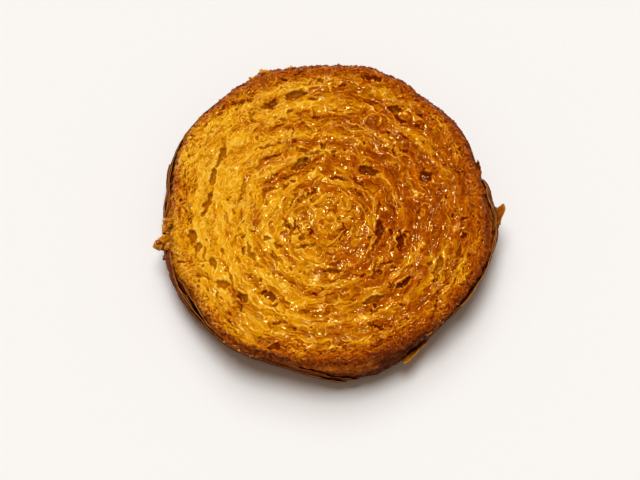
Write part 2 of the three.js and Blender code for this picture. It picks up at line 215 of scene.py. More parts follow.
# painted shade: the crumb is paler on its ridges and darker in its hollows, at a fine and a broad scale
CAVITY_SHADE_SCALE, CAVITY_SHADE_FULL = 0.45, 0.12
BROAD_CAVITY_SHADE_SCALE, BROAD_CAVITY_SHADE_FULL = 1.6, 0.4
RISE_MOST = 1.5
RIM_SHADE_REACH, FRONT_SHADE_REACH, RIM_BROWN_REACH = 4, 2.6, 3.8
# where the rim is less browned, and where the front rim is darker, with painted shade: angle, spread, share
PALE_RIM = ((150, 11, 0.35), (312, 22, 0.2))
DARK_FRONT = ((265, 34, 1),)
# pale lines along the skins, partly painted highlight: their half widths, and the share of the mid ones
BIG_LINE, MID_LINE, MID_LINE_SHARE = 0.15, 0.13, 0.7
# dark rings inside some cells, partly caramelised edges and partly painted shadow: where, how wide, which
# cells
OUTLINE_AT, OUTLINE_WIDTH, OUTLINE_PICK, OUTLINE_PICK_SOFT = 0.4, 0.16, 0.45, 0.2
BIG_PICK_WEIGHT, MID_PICK_WEIGHT = 0.6, 0.5
FIBRES_MEAN = 0.7
FILM_LEAST = 0.3
# the openings' painted shade is full at this depth
PIT_SHADE_FULL = 0.8
# single browned and pale areas: x, y, radius, amount (darker where positive, paler where negative)
PATCHES = (
    (26, 12, 9, 0.35), (14, 14, 6, 0.25), (2, 17, 6, 0.33), (33, -2, 11, 0.25), (20, -8, 7, 0.3),
    (9, -17, 9, 0.45), (0, -38, 8, 0.35), (-20, 12, 12, 0.27), (19, -33, 8, 0.35), (26, 24, 6, -0.2),
    (18, 34, 9, -0.15), (35, -19, 6, -0.4), (-8, -25, 10, -0.02), (-15, -44, 4.5, 0.7),
    (-29, -34, 6, 0.45), (-24, 41, 7, 0.35), (-43, -22, 6, 0.2), (-42, 22, 6, 0.15), (-46, 7, 6, 0.35),
    (-30, 8, 15, -0.1), (-16, -16, 11, -0.02), (-2, 40, 12, -0.1),
)

# ---- Rim and side ----
# where the crumb bulges over its crust or stands in: angle, spread, reach
RIM_REACHES = (
    (179, 12, 0.8), (339, 8, 0.6), (66, 9, 0.4), (112, 4, 0.7), (14, 12, 1.7), (197, 6, 1.1), (204, 5, 1.7),
    (243, 13, -1.5),
)
RIM_OUT = 0.15
RIM_STIR = 4  # the torn rim stirs the face this far in
RIM_BELOW = 0.3  # the crust's lip lies this far below the rim
WALL_BULGES = ((291, 11, 0.9),)
WALL_TOP = 12.9
WALL_JAG_FROM, WALL_JAG_OVER = 9, 4
CRUMB_ON_WALL = 0.9

# ---- Loose sheets of crust round the wall ----
# how far the outermost sheet stands off the wall: angle, distance
STAND_OFF = (
    (0, 1.8), (8, 2), (16, 1.2), (24, 0.5), (40, 0.3), (60, 0.3), (90, 0.3), (120, 0.2), (150, 0.5),
    (168, 1.3), (180, 0.9), (192, 0.5), (202, 1.2), (209, 2), (220, 1.9), (228, 0.9), (240, 0.5),
    (252, 0.7), (265, 1.2), (280, 1.3), (292, 0.8), (304, 0.8), (318, 0.3), (334, 0.9), (342, 0.5),
    (348, 0.2), (356, 0.6), (360, 1.8),
)
# from, to; height of the free edge at both ends; share of the stand-off; lean of the free edge; shade;
# degrees over which the ends close in to the wall
SHEETS = (
    (158, 277.5, 13.2, 6.4, 1, 0.3, 0.4, 2.5), (192, 272, 13.7, 9.6, 0.8, 0.2, 0.5, 6),
    (202, 264, 11.8, 7.2, 0.9, 0.2, 0.3, 8), (279, 314, 7.6, 9.8, 0.3, 0, 0, 8),
    (164, 208, 12.2, 11, 0.8, 0.1, 0.2, 9), (250, 281, 9.4, 7.6, 0.45, 0.15, 0.3, 4),
    (318, 379, 12.4, 13, 0.9, 0.8, 0.5, 6), (326, 376, 11.4, 12.2, 0.4, 0.3, 0.5, 7),
    (20, 118, 11.4, 12.2, 0.8, 0.05, 0.4, 9), (108, 182, 12.8, 12.8, 0.9, 0.05, 0.2, 9),
    (128, 174, 11.8, 11.4, 1, 0.05, 0.1, 9), (180, 232, 13.8, 13.4, 0.12, 0.1, 0.4, 9),
    (158, 196, 13.9, 13.7, -0.3, 0.1, 0.2, 9),
)
SHEET_COLUMN = 0.36
SHEET_ROWS = 17
SHEET_ROWS_CLOSER = 1.3  # power that brings the rows closer together at the free edge
SHEET_THICK = 0.3
SHEET_EDGE_THIN, SHEET_EDGE_OVER = 0.35, 6
SHEET_LOW = 0.5
SHEET_END_OVER, SHEET_END_LOW = 5, 0.35
STAND_OVER = 5  # height over which a sheet comes away from the wall
LOOSE_MEAN, LOOSE_MOST = 0.9, 1.1

# ---- Curled flakes ----
# angle, height of the root and of the free edge, half width in degrees, reach, twist, glaze
FLAKES = (
    (359.8, 10.4, 14, 3.5, 2.9, 0.7, 0.6), (300.5, 6, 8.6, 5.6, 2.9, -0.4, 0.8),
    (274.5, 4.2, 6.4, 5, 1.1, 0.5, 0.25), (311, 10.6, 13, 2.8, 1, 0.5, 0.8),
    (232, 4, 7, 3, 0.9, 0.3, 0), (212, 9, 12.2, 4, 0.6, -0.6, 0), (337, 8, 11.6, 3, 0.9, 0.6, 0),
    (20, 10, 13, 2.6, 0.7, 0.5, 0.1), (63, 9, 12, 3.6, 0.6, -0.5, 0),
)
FLAKE_POINTS = (25, 14)
FLAKE_HALF_THICK = 0.16
FLAKE_ROOT_TOP = 10.5

# ---- Torn crumb that hangs out at the rim ----
# angle, height, spread in degrees and in mm, reach out, how many knobs, browning
TUFTS = (
    (191, 11.6, 2.6, 2.2, 3.2, 90, 0), (184.6, 12.6, 2.4, 1.6, 1.8, 44, 0.05),
    (196.5, 10.5, 2, 1.8, 1.6, 18, 0.6), (114.5, 13.5, 2, 1, 1.3, 44, 0),
    (118.5, 13.2, 2.2, 0.9, 0.1, 12, 0.1), (106, 13.6, 1.6, 0.8, 0, 8, 0.1),
    (126, 13.4, 1.4, 0.7, 0, 8, 0.1), (142, 13.4, 1.6, 0.7, 0, 8, 0.1),
    (152, 13.2, 1.4, 0.8, 0, 7, 0.1), (309, 12, 3.4, 1.3, 0.6, 18, 0.4),
    (216, 11.6, 4.5, 1.2, -0.6, 16, 0.9),
)
TUFT_SEED = 29
TUFT_TOP = 13.6
THREAD_EVERY = 5  # one thread for this many pieces of a tuft
RIM_KNOBS = 300
RIM_THREADS = 0.3
KNOB_RADII = (0.75, 1.0, 1.05, 0.9, 0.7, 0.35)
KNOB_SIDES, KNOB_LUMPS, KNOB_STEP, KNOB_CROOK, KNOB_STRAY = 9, 0.9, 0.38, 0.16, 0.6
THREAD_SIDES, THREAD_STEPS, THREAD_CROOK, THREAD_STRAY, THREAD_TURN = 5, 9, 0.15, 0.8, 0.25


# ---- Small maths ----
def ease(t):
    """From 0 to 1, with a smooth start and end."""
    c = np.clip(t, 0, 1)
    return c * c * (3 - 2 * c)


def angle_gap(a, b):
    return (a - b + 180) % 360 - 180


def bell(t):
    return np.exp(-t * t)


def bells(angle, table):
    """Sum of smooth bumps round the rim: angle, spread, height."""
    return sum(by * bell(angle_gap(angle, at) / spread) for at, spread, by in table)


def circle(angle):
    t = np.radians(angle)
    return np.cos(t), np.sin(t)


def hash_lattice(ix, iy, iz, seed):
    """A seeded whole number for each corner of the noise grid."""
    n = (ix * 374761393 + iy * 668265263 + iz * 1442695041 + seed * 974634777) & 0xFFFFFFFF
    n = ((n ^ (n >> 13)) * 1274126177) & 0xFFFFFFFF
    n = ((n ^ (n >> 16)) * 2246822519) & 0xFFFFFFFF
    return n ^ (n >> 15)


EDGES = [(a, b, 0) for a in (1, -1) for b in (1, -1)]
EDGES += [(a, 0, b) for a in (1, -1) for b in (1, -1)]
EDGES += [(0, a, b) for a in (1, -1) for b in (1, -1)]
GRADIENTS = np.array(EDGES + EDGES[:4], float)


def noise(x, y, z, seed):
    """Smooth noise from about -1 to 1, with features about one unit across."""
    x, y, z = np.broadcast_arrays(x, y, z)
    cell = [np.floor(v).astype(np.int64) for v in (x, y, z)]
    part = [v - c for v, c in zip((x, y, z), cell)]
    fade = [f * f * f * (f * (f * 6 - 15) + 10) for f in part]
    total = np.zeros(x.shape)
    for dx in (0, 1):
        for dy in (0, 1):
            for dz in (0, 1):
                corner = hash_lattice(cell[0] + dx, cell[1] + dy, cell[2] + dz, seed)
                g = GRADIENTS[corner & 15]
                dot = g[..., 0] * (part[0] - dx) + g[..., 1] * (part[1] - dy) + g[..., 2] * (part[2] - dz)
                weight = np.where(dx, fade[0], 1 - fade[0]) * np.where(dy, fade[1], 1 - fade[1])
                total += dot * weight * np.where(dz, fade[2], 1 - fade[2])
    return total


def layered(x, y, across, layers):
    """Noise in layers, from a table of them."""
    return sum(
        amount * noise(x / along, y / along, across / over + start, seed)
        for amount, along, over, start, seed in layers
    )


def ring_noise(angle, z, layers, start=0):
    """Noise round the side in layers, from a table of them."""
    c, s = circle(angle)
    return sum(
        amount * noise(fine * c, fine * s, z / height + start, seed) for amount, fine, height, seed in layers
    )


def flake_noise(u, v, k, layers):
    return sum(amount * noise(u * along, v * up, k, seed) for amount, along, up, seed in layers)


def threads(x, y, across, layers):
    """Thin crests where the noise changes sign, in layers."""
    return sum(
        amount * bell(noise(x / along, y / along, across / over, seed) / width)
        for amount, along, over, width, seed in layers
    )


TEN_BITS = 1023
FAR = 9.0


def cell_offsets(place, base, step, seed):
    """A neighbouring cell's whole number, and how far the points lie from its middle on each axis."""
    h = hash_lattice(base[0] + step[0], base[1] + step[1], base[2] + step[2], seed)
    shares = [(h >> shift & TEN_BITS) / TEN_BITS for shift in (0, 10, 20)]
    return h, np.array([p - b - d - share for p, b, d, share in zip(place, base, step, shares)])


def cells(x, y, out, along, across, seed):
    """Of the crumb cell that a point lies in: distance to its border in mm, a random share, a random slant.

    The cells are this long along a turn of the roll, and this wide across it.
    """
    place = (x / along, y / along, out / across)
    base = [np.floor(v).astype(np.int64) for v in place]
    near = np.full(x.shape, FAR)
    second = np.full(x.shape, FAR)
    owner = np.zeros(x.shape, np.int64)
    own, other = np.zeros((2, 3, *x.shape))
    for step in itertools.product((-1, 0, 1), repeat=3):
        h, off = cell_offsets(place, base, step, seed)
        d = (off**2).sum(0)
        first = d < near
        runner_up = ~first & (d < second)
        other = np.where(first, own, np.where(runner_up, off, other))
        own = np.where(first, off, own)
        second = np.where(first, near, np.where(runner_up, d, second))
        near = np.where(first, d, near)
        owner = np.where(first, h, owner)
    apart = other - own
    r = np.hypot(x, y) + 1e-6
    slope_x = apart[0] / along + apart[2] / across * x / r
    slope_y = apart[1] / along + apart[2] / across * y / r
    border = (second - near) / (2 * np.hypot(slope_x, slope_y) + 0.05)
    again = hash_lattice(owner, owner >> 7, owner >> 13, seed + 1)
    slants = [2 * (again >> shift & TEN_BITS) / TEN_BITS - 1 for shift in (0, 10)]
    return border, (again >> 20 & TEN_BITS) / TEN_BITS, slants[0] * own[0] + slants[1] * own[1]


# ---- Outline ----
def waves(angle, table):
    return sum(by * np.cos(np.radians(count * (angle - at))) for count, by, at in table)


def face_radius(angle):
    return FACE_RADIUS + waves(angle, FACE_WAVES)


def wall_radius(angle):
    return face_radius(angle) + CRUST_OUT + waves(angle, CRUST_WAVES)


def gap_depth(angle):
    return bells(angle, GAPS)


def gap_width(angle):
    return np.minimum(GAP_MOST, GAP_LEAST + GAP_PER_DEPTH * gap_depth(angle))


def rim_jag(angle, z):
    """How far the torn rim strays outwards."""
    return RIM_OUT + bells(angle, RIM_REACHES) + ring_noise(angle, z, RIM_JAG)


def wall_at(angle, z):
    """Radius of the crust's side, under its loose sheets."""
    inward = np.interp(z, *np.array(WALL_SECTION).T)
    lean = ease((z - LEAN_FROM) / (LEAN_TO - LEAN_FROM))
    foot, top = wall_radius(angle) - WALL_INSET, face_radius(angle) + gap_width(angle)
    return foot * (1 - lean) + top * lean - inward


def polar_points(angle, r, z):
    c, s = circle(angle)
    return np.stack([r * c, r * s, z], -1)


# ---- Places on the cut face ----
def roll_coordinates(x, y):
    """Where points of the face lie in the roll: out from its start, round it and in from the rim, and as bent
    coordinates for the crumb, with the zones that they lie in."""
    angle = np.degrees(np.arctan2(y, x))
    r = np.hypot(x, y)
    rim = face_radius(angle)
    share = np.minimum(1, r / rim)
    qx = x - ROLL_CENTRE[0] * (1 - share**2)
    qy = y - ROLL_CENTRE[1] * (1 - share**2)
    at = SimpleNamespace(x=x, y=y, out=np.hypot(qx, qy), around=np.arctan2(qy, qx), inward=rim - r)
    at.start = ease((at.out - TURNS_FROM) / TURNS_OVER)
    at.rim_zone = ease((RIM_ZONE - at.inward) / RIM_ZONE_FADE)
    at.dry = np.maximum(at.rim_zone, DRY_MOST * ease((-x + DRY_LEAN * y - DRY_FROM) / DRY_OVER))
    at.bent_x = x + layered(x, y, 0, BEND_X)
    at.bent_y = y + layered(x, y, 0, BEND_Y)
    at.across = np.hypot(at.out, LOOSE_START) - LOOSE_START + (1 - at.start) * layered(x, y, 0, BEND_START)
    at.across = at.across + layered(x, y, 0, BEND_OUT)
    at.turn = at.out / TURN_PITCH - at.around / (2 * np.pi) + layered(x, y, at.out, BEND_TURNS)
    return at


def patches(at, table, more=0):
    """Patches of the face, from 0 to 1."""
    level, layer = table
    return ease(level + more + layered(at.x, at.y, at.out, (layer,)))


def seeded_openings():
    """Slits along the turns and small round holes, spread over the face by a seeded draw."""
    draw = np.random.default_rng(11)
    places = []
    for i in range(SLITS + HOLES_BY_DRAW):
        r = SEEDED_WITHIN * math.sqrt(draw.random())
        angle = math.radians(draw.uniform(0, 360))
        x, y = r * math.cos(angle), r * math.sin(angle)
        along = math.degrees(math.atan2(y - ROLL_CENTRE[1], x - ROLL_CENTRE[0])) + 90
        if i < SLITS:
            length, width = draw.uniform(*SLIT_LENGTH), draw.uniform(*SLIT_WIDTH)
            depth, stray = draw.uniform(*SLIT_DEPTH), draw.normal(0, SLIT_STRAY)
        else:
            width = draw.uniform(*HOLE_WIDTH)
            length = width * draw.uniform(*HOLE_LONGER)
            depth, stray = draw.uniform(*HOLE_DEPTH), draw.normal(0, HOLE_STRAY)
        places.append((x, y, length, width, depth, along + stray))
    return places


def openings(x, y, table, sharpness):
    """Depth of the openings in a table, with torn edges."""
    torn_x = x + layered(x, y, 0, TEAR_X)
    torn_y = y + layered(x, y, 0, TEAR_Y)
    depth = np.zeros(x.shape)
    for px, py, length, width, deep, heading in table:
        reach = 0.9 * length + 1
        at = np.nonzero((np.abs(x - px) < reach) & (np.abs(y - py) < reach))
        c, s = circle(heading)
        dx, dy = torn_x[at] - px, torn_y[at] - py
        u = (dx * c + dy * s) / (length * OPENING_HALF)
        v = (dy * c - dx * s) / (width * OPENING_HALF)
        depth[at] = np.maximum(depth[at], deep * bell((u * u + v * v) ** sharpness))
    return depth


def blur(field, radius):
    """The field of the square grid with everything finer than this many millimetres smoothed away."""
    count = len(field)
    fall = np.exp(-2 * (np.pi * radius * np.fft.fftfreq(count, GRID_STEP)) ** 2)
    spectrum = np.fft.rfft2(field) * fall[:, None] * fall[None, : count // 2 + 1]
    return np.fft.irfft2(spectrum, s=field.shape)


def soft_max(a, b, blend):
    return 0.5 * (a + b + np.sqrt((a - b) ** 2 + blend**2))


def weighted(features, weights):
    return sum(weight * features[key] for key, weight in weights.items())


# ---- Bare crumb ----
def hollow(edge, pick, size):
    """Depth of cells below the walls between them."""
    depth, slope = size
    return depth * ease(edge / slope) * pick


def skin(edge, size):
    """Height of the thin skins between cells."""
    height, half_width = size
    return height * bell(edge / half_width)


def seams(at):
    """Open seams between the turns, from 0 to 1."""
    place = at.turn * SEAMS_A_TURN + layered(at.bent_x, at.bent_y, 0, BEND_SEAMS)
    return bell(np.abs(place % 1 - 0.5) / SEAM_WIDTH) * at.start * patches(at, SEAM_PATCHES)


def pores(at):
    """Small slits in the dry crumb near the rim, with walls between them, from 0 to 1."""
    inward = at.inward + layered(at.x, at.y, 0, BEND_PORES)
    edge, pick, _ = cells(at.x, at.y, inward, *PORE_CELLS)
    zone = ease((PORE_ZONE - at.inward) / PORE_ZONE_FADE) * patches(at, PORE_PATCHES)
    return zone * ease((edge - PORE_WALL) / PORE_SOFT) * ease((pick - PORE_PICK) / PORE_SOFT)


def crumb_relief(at):
    """Height of the bare crumb, with the features that its colour follows.

    It has cells between thin walls, drawn out along the turns, with threads across them.
    """
    bent = (at.bent_x, at.bent_y, at.across)
    big_edge, big_pick, big_slant = cells(*bent, *BIG_CELLS)
    mid_edge, mid_pick, mid_slant = cells(*bent, *MID_CELLS)
    fine_edge, fine_pick, _ = cells(*bent, *FINE_CELLS)
    grainy = patches(at, GRAIN_PATCHES, at.rim_zone)
    torn = patches(at, TORN_PATCHES)
    fibres = threads(*bent, FIBRES)
    long = threads(*bent, LONG_THREADS) * patches(at, LONG_PATCHES)
    round_centre = (np.cos(at.around), np.sin(at.around), at.across)
    cross = threads(*round_centre, CROSS_THREADS) * patches(at, CROSS_PATCHES) * at.start
    radial = threads(*round_centre, RADIAL_THREADS) * at.rim_zone
    seam, pore = seams(at), pores(at)
    band = at.start * np.cos(2 * np.pi * at.turn)

    relief = BIG_TILT * big_slant + MID_TILT * mid_slant - hollow(mid_edge, mid_pick, MID_HOLLOW)
    relief = relief - hollow(big_edge, big_pick**BIG_PICKED, BIG_HOLLOW) * (1 - at.rim_zone)
    relief = relief * (1 - DRY_FLATTER * at.dry)
    relief = relief - hollow(fine_edge, fine_pick, FINE_HOLLOW) * grainy * (1 - DRY_FLATTER_FINE * at.dry)
    skins = skin(big_edge, BIG_SKIN) + skin(mid_edge, MID_SKIN) + skin(fine_edge, FINE_SKIN) * grainy
    relief = relief + skins * torn + (FIBRE_HEIGHT + DRY_FIBRE_HEIGHT * at.dry) * fibres
    relief = relief + LONG_HEIGHT * long + CROSS_HEIGHT * cross + RADIAL_HEIGHT * radial
    relief = relief - SEAM_DEPTH * seam - PORE_DEPTH * pore
    relief = relief + TURN_HEIGHT * band + layered(at.x, at.y, at.across, CRUMBLE)

    # Pale lines along the skins: partly the skins' own paler colour, partly painted highlight along their
    # crests.
    pale_skins_and_highlight = bell(big_edge / BIG_LINE) * torn + MID_LINE_SHARE * bell(mid_edge / MID_LINE) * (1 - torn) + long
    pale_skins_and_highlight = np.clip(pale_skins_and_highlight, 0, 1)
    # Dark rings inside some big cells: partly caramelised edges, partly painted shadow.
    outlined = ease((big_pick - OUTLINE_PICK) / OUTLINE_PICK_SOFT) * (1 - at.dry)
    features = {
        "seam": seam,
        "pores": pore,
        "caramel_and_shadow_outlines": bell((big_edge - OUTLINE_AT) / OUTLINE_WIDTH) * outlined,
        "pale_skins_and_highlight": pale_skins_and_highlight,
        "dry_pale_skins_and_highlight": at.dry * pale_skins_and_highlight,
        "dry_fibres": at.dry * (fibres - FIBRES_MEAN),
        "band": band,
        "pick": BIG_PICK_WEIGHT * (big_pick - 0.5) + MID_PICK_WEIGHT * (mid_pick - 0.5),
    }
    return RELIEF_SHARE * relief, features


# ---- Cut face ----
def browning(at):
    """How far the crumb has browned by its place on the face: 0 golden, 1 deep caramel. Its slope to the
    right is partly browning and partly painted shade.
    """
    c, s = circle(BROWN_AND_SHADE_HEADING)
    brown = BROWN_BASE + BROWN_AND_SHADE_SLOPE * np.minimum(at.x * c + at.y * s, BROWN_AND_SHADE_REACH)
    for px, py, radius, amount in PATCHES:
        brown = brown + amount * bell(np.hypot(at.x - px, at.y - py) / radius)
    return brown + layered(at.x, at.y, at.out, BROWN_NOISE)


def shade_features(at, height, cover):
    """What else the crumb's colour follows: ridges and hollows, as painted shade that makes ridges paler and
    hollows darker; depth of syrup; and nearness to the rim.
    """
    # painted shade: paler on the ridges, darker in the hollows
    cavity_shade = np.clip((height - blur(height, CAVITY_SHADE_SCALE)) / CAVITY_SHADE_FULL, -RISE_MOST, RISE_MOST)
    angle = np.degrees(np.arctan2(at.y, at.x))
    rim_share = 1 - bells(angle, PALE_RIM)
    front = bells(angle, DARK_FRONT)
    inside = np.maximum(at.inward, 0)
    return {
        "cavity_shade": cavity_shade,
        "dry_cavity_shade": at.dry * cavity_shade,
        # painted shade at a broader scale
        "swell": np.clip((height - blur(height, BROAD_CAVITY_SHADE_SCALE)) / BROAD_CAVITY_SHADE_FULL, -RISE_MOST, RISE_MOST),
        "syrup": 1 - np.exp(-np.maximum(cover, 0) / SYRUP_FULL),
        # partly painted shade: the crumb is darker towards the right
        "rightward_browning_and_shade": at.x,
        "rim_shade": rim_share * bell(inside / RIM_SHADE_REACH),
        "front_shade": front * bell(inside / FRONT_SHADE_REACH),
        "rim_brown": rim_share * bell(inside / RIM_BROWN_REACH),
        # painted shade: darker and browner along the front rim, away from the lights
        "front_shade_browning": front * bell(inside / RIM_BROWN_REACH),
        "rim_toast": rim_share * bell(np.maximum(at.inward - TOAST_FROM, 0) / TOAST_REACH),
    }


def crumb_fields():
    """Height of the cut face and its masks, on the square grid."""
    axis = np.arange(-GRID_HALF, GRID_HALF, GRID_STEP)
    at = roll_coordinates(*np.meshgrid(axis, axis, indexing="ij"))
    relief, features = crumb_relief(at)

    level = SYRUP_LEVEL + layered(at.x, at.y, at.out, SYRUP_SPREAD) - SYRUP_LESS_DRY * at.dry
    syrup = blur(relief, SYRUP_SMOOTH) + level + layered(at.x, at.y, at.across, SYRUP_WOBBLE)
    surface = soft_max(relief, syrup, SYRUP_MENISCUS)
    surface = surface - blur(surface, FACE_LEVEL) + layered(at.x, at.y, at.across, FACE_SWELL)
    pockets = POCKET_SHARE * openings(at.x, at.y, POCKETS + HOLES, POCKET_SHARPNESS)
    opened = np.maximum(pockets, openings(at.x, at.y, seeded_openings(), SEEDED_SHARPNESS))
    drop = RIM_DROP * (1 - ease(at.inward / RIM_ROUND)) ** 2
    height = THICKNESS + surface - opened - drop

    features.update(shade_features(at, height, syrup - relief))
    tone = TONE_BASE + weighted(features, TONE_WEIGHTS) + layered(at.x, at.y, at.across, TONE_NOISE)
    brown = browning(at) + weighted(features, BROWN_WEIGHTS)
    return {
        "height": height,
        "tone": np.clip(tone, 0, 1),
        # painted shade inside the openings and slits
        "pit": np.maximum(ease(opened / PIT_SHADE_FULL), features["pores"]),
        "film": FILM_LEAST + (1 - FILM_LEAST) * features["syrup"],
        "brown": np.clip(brown, 0, 1),
        "toasted": TOAST_WEIGHT * features["rim_toast"],
    }


CRUMB = crumb_fields()


def face_surface(x, y):
    """Height of the cut face, and its masks, at these points."""
    column, row = (x + GRID_HALF) / GRID_STEP, (y + GRID_HALF) / GRID_STEP
    i, j = column.astype(int), row.astype(int)
    s, t = column - i, row - j

    def at(field):
        low = field[i, j] * (1 - s) + field[i + 1, j] * s
        high = field[i, j + 1] * (1 - s) + field[i + 1, j + 1] * s
        return low * (1 - t) + high * t

    masks = {key: at(field) for key, field in CRUMB.items()}
    return masks.pop("height"), masks


# ---- Mesh making ----
def ring_faces(first_a, count_a, first_b, count_b):
    """Triangles between two rings of points, where ring b lies outside ring a."""
    i = np.arange(count_a)
    apex = np.floor(count_b * (i + 0.5) / count_a + 0.5).astype(int) % count_b
    inner = np.stack([first_a + i, first_b + apex, first_a + (i + 1) % count_a], 1)
    j = np.arange(count_b)
    apex = np.ceil(count_a * (j + 0.5) / count_b - 0.5).astype(int) % count_a
    outer = np.stack([first_b + j, first_b + (j + 1) % count_b, first_a + apex], 1)
    return np.concatenate([inner, outer])


def disc_grid(radius_at, from_share, to_share, step):
    """Points and triangles of a flat ring-shaped sheet, from one share of the outline's radius to another."""
    mean = float(np.mean(radius_at(np.arange(0.0, 360, 5))))
    rings = max(2, int(round((to_share - from_share) * mean / step)))
    xy, faces, first = [], [], 0
    previous = None
    for i in range(rings + 1):
        share = from_share + (to_share - from_share) * i / rings
        count = 1 if share == 0 else max(6, int(round(2 * math.pi * mean * share / step)))
        angle = 360.0 * np.arange(count) / count
        xy.append(polar_points(angle, share * radius_at(angle), angle)[:, :2])
        if previous and previous[1] == 1:
            k = np.arange(count)
            faces.append(np.stack([np.zeros(count, int), first + k, first + (k + 1) % count], 1))
        elif previous:
            faces.append(ring_faces(*previous, first, count))
        previous = (first, count)
        first += count
    return np.concatenate(xy), np.concatenate(faces)


def grid_faces(rows, columns, closed):
    """Triangles of a grid of points, whose columns may close on themselves."""
    i, j = np.meshgrid(np.arange(rows - 1), np.arange(columns if closed else columns - 1), indexing="ij")
    following = (j + 1) % columns
    p00, p01 = i * columns + j, i * columns + following
    p10, p11 = p00 + columns, p01 + columns
    lower = np.stack([p00, p10, p11], -1).reshape(-1, 3)
    upper = np.stack([p00, p11, p01], -1).reshape(-1, 3)
    return np.concatenate([lower, upper])


def join(parts):
    """One mesh's points, triangles and masks from a list of them."""
    first = np.cumsum([0] + [len(points) for points, _, _ in parts])
    points = np.concatenate([part[0] for part in parts])
    faces = np.concatenate([part[1] + start for part, start in zip(parts, first)])
    masks = {key: np.concatenate([part[2][key] for part in parts]) for key in parts[0][2]}
    return points, faces, masks


def even_masks(count, **levels):
    """The same level of each mask at every point."""
    return {key: np.full(count, float(value)) for key, value in levels.items()}


def new_object(name, data):
    thing = bpy.data.objects.new(name, data)
    bpy.context.scene.collection.objects.link(thing)
    return thing


def make_piece(name, points, faces, masks, uv, material):
    """A smooth mesh from points in mm, with its masks, that rides with the disc and replaces its solid."""
    mesh = bpy.data.meshes.new(name)
    mesh.vertices.add(len(points))
    mesh.vertices.foreach_set("co", (np.asarray(points) * MM).astype(np.float32).ravel())
    mesh.loops.add(faces.size)
    mesh.loops.foreach_set("vertex_index", faces.astype(np.int32).ravel())
    mesh.polygons.add(len(faces))
    mesh.polygons.foreach_set("loop_start", np.arange(0, faces.size, 3, dtype=np.int32))
    mesh.update(calc_edges=True)
    mesh.polygons.foreach_set("use_smooth", np.ones(len(faces), bool))
    for key, values in masks.items():
        mesh.attributes.new(key, "FLOAT", "POINT").data.foreach_set("value", values.astype(np.float32))
    layer = mesh.uv_layers.new(name="OFBake")
    layer.data.foreach_set("uv", uv[faces.ravel()].astype(np.float32).ravel())
    mesh.materials.append(material)
    piece = new_object(name, mesh)
    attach(piece, "root")
    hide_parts(NODE)


def planar_uv(points, half):
    return 0.5 + 0.49 * points[:, :2] / half


# ---- Thin round shapes: threads and knobs of crumb ----
def crosswise(path):
    """Two directions square to a path, at each of its points."""
    along = np.gradient(path, axis=0)
    along /= np.linalg.norm(along, axis=1, keepdims=True) + 1e-9
    side = np.cross(along, (0.31, 0.2, 0.93))
    side /= np.linalg.norm(side, axis=1, keepdims=True) + 1e-9
    return side, np.cross(side, along)


def tube(path, radii, sides, seed, lumps):
    """A closed round skin along a path of points, whose radius may be uneven."""
    side, up = crosswise(path)
    turn = 2 * np.pi * np.arange(sides) / sides
    ring = np.cos(turn)[None, :, None] * side[:, None] + np.sin(turn)[None, :, None] * up[:, None]
    points = path[:, None] + ring * radii[:, None, None]
    if lumps:
        swell = 1 + lumps * noise(*(points[..., axis] * 1.3 for axis in range(3)), seed)
        points = path[:, None] + ring * (radii[:, None] * swell)[..., None]
    rings = len(path)
    faces = grid_faces(rings, sides, True)
    points = np.concatenate([points.reshape(-1, 3), path[:1], path[-1:]])
    k = np.arange(sides)
    head = np.stack([np.full(sides, rings * sides), k, (k + 1) % sides], 1)
    last = (rings - 1) * sides
    tail = np.stack([np.full(sides, rings * sides + 1), last + (k + 1) % sides, last + k], 1)
    return points, np.concatenate([faces, head, tail])


def stray(draw, outward, amount):
    """A direction that strays from this one."""
    heading = outward + draw.normal(0, amount, 3)
    return heading / np.linalg.norm(heading)


def knob(draw, place, size, outward):
    """A torn bit of crumb: a short crooked tube with a lumpy skin."""
    steps = len(KNOB_RADII)
    heading = stray(draw, outward, KNOB_STRAY)
    crook = draw.normal(0, KNOB_CROOK, (steps, 3)) * size
    walk = np.cumsum(heading * size * KNOB_STEP + crook, axis=0)
    path = place + walk - walk[0] * 1.5
    radii = size * np.array(KNOB_RADII) * draw.uniform(0.8, 1.15, steps)
    return tube(path, radii, KNOB_SIDES, int(draw.integers(1, 999)), KNOB_LUMPS)


def thread(draw, place, length, width, outward):
    """A thin crooked strand with one end in the crumb."""
    heading = stray(draw, outward, THREAD_STRAY)
    turn = draw.normal(0, THREAD_TURN, 3)
    bend = np.arange(THREAD_STEPS)[:, None] / THREAD_STEPS * turn * 3
    headings = heading + bend + draw.normal(0, THREAD_CROOK, (THREAD_STEPS, 3))
    path = place + np.cumsum(headings * length / THREAD_STEPS, axis=0) - headings[0] * length * 0.3
    return tube(path, width * np.linspace(1.1, 0.5, THREAD_STEPS), THREAD_SIDES, 1, 0)


def outward_at(angle, rise):
    c, s = circle(angle)
    return np.array([c, s, rise])


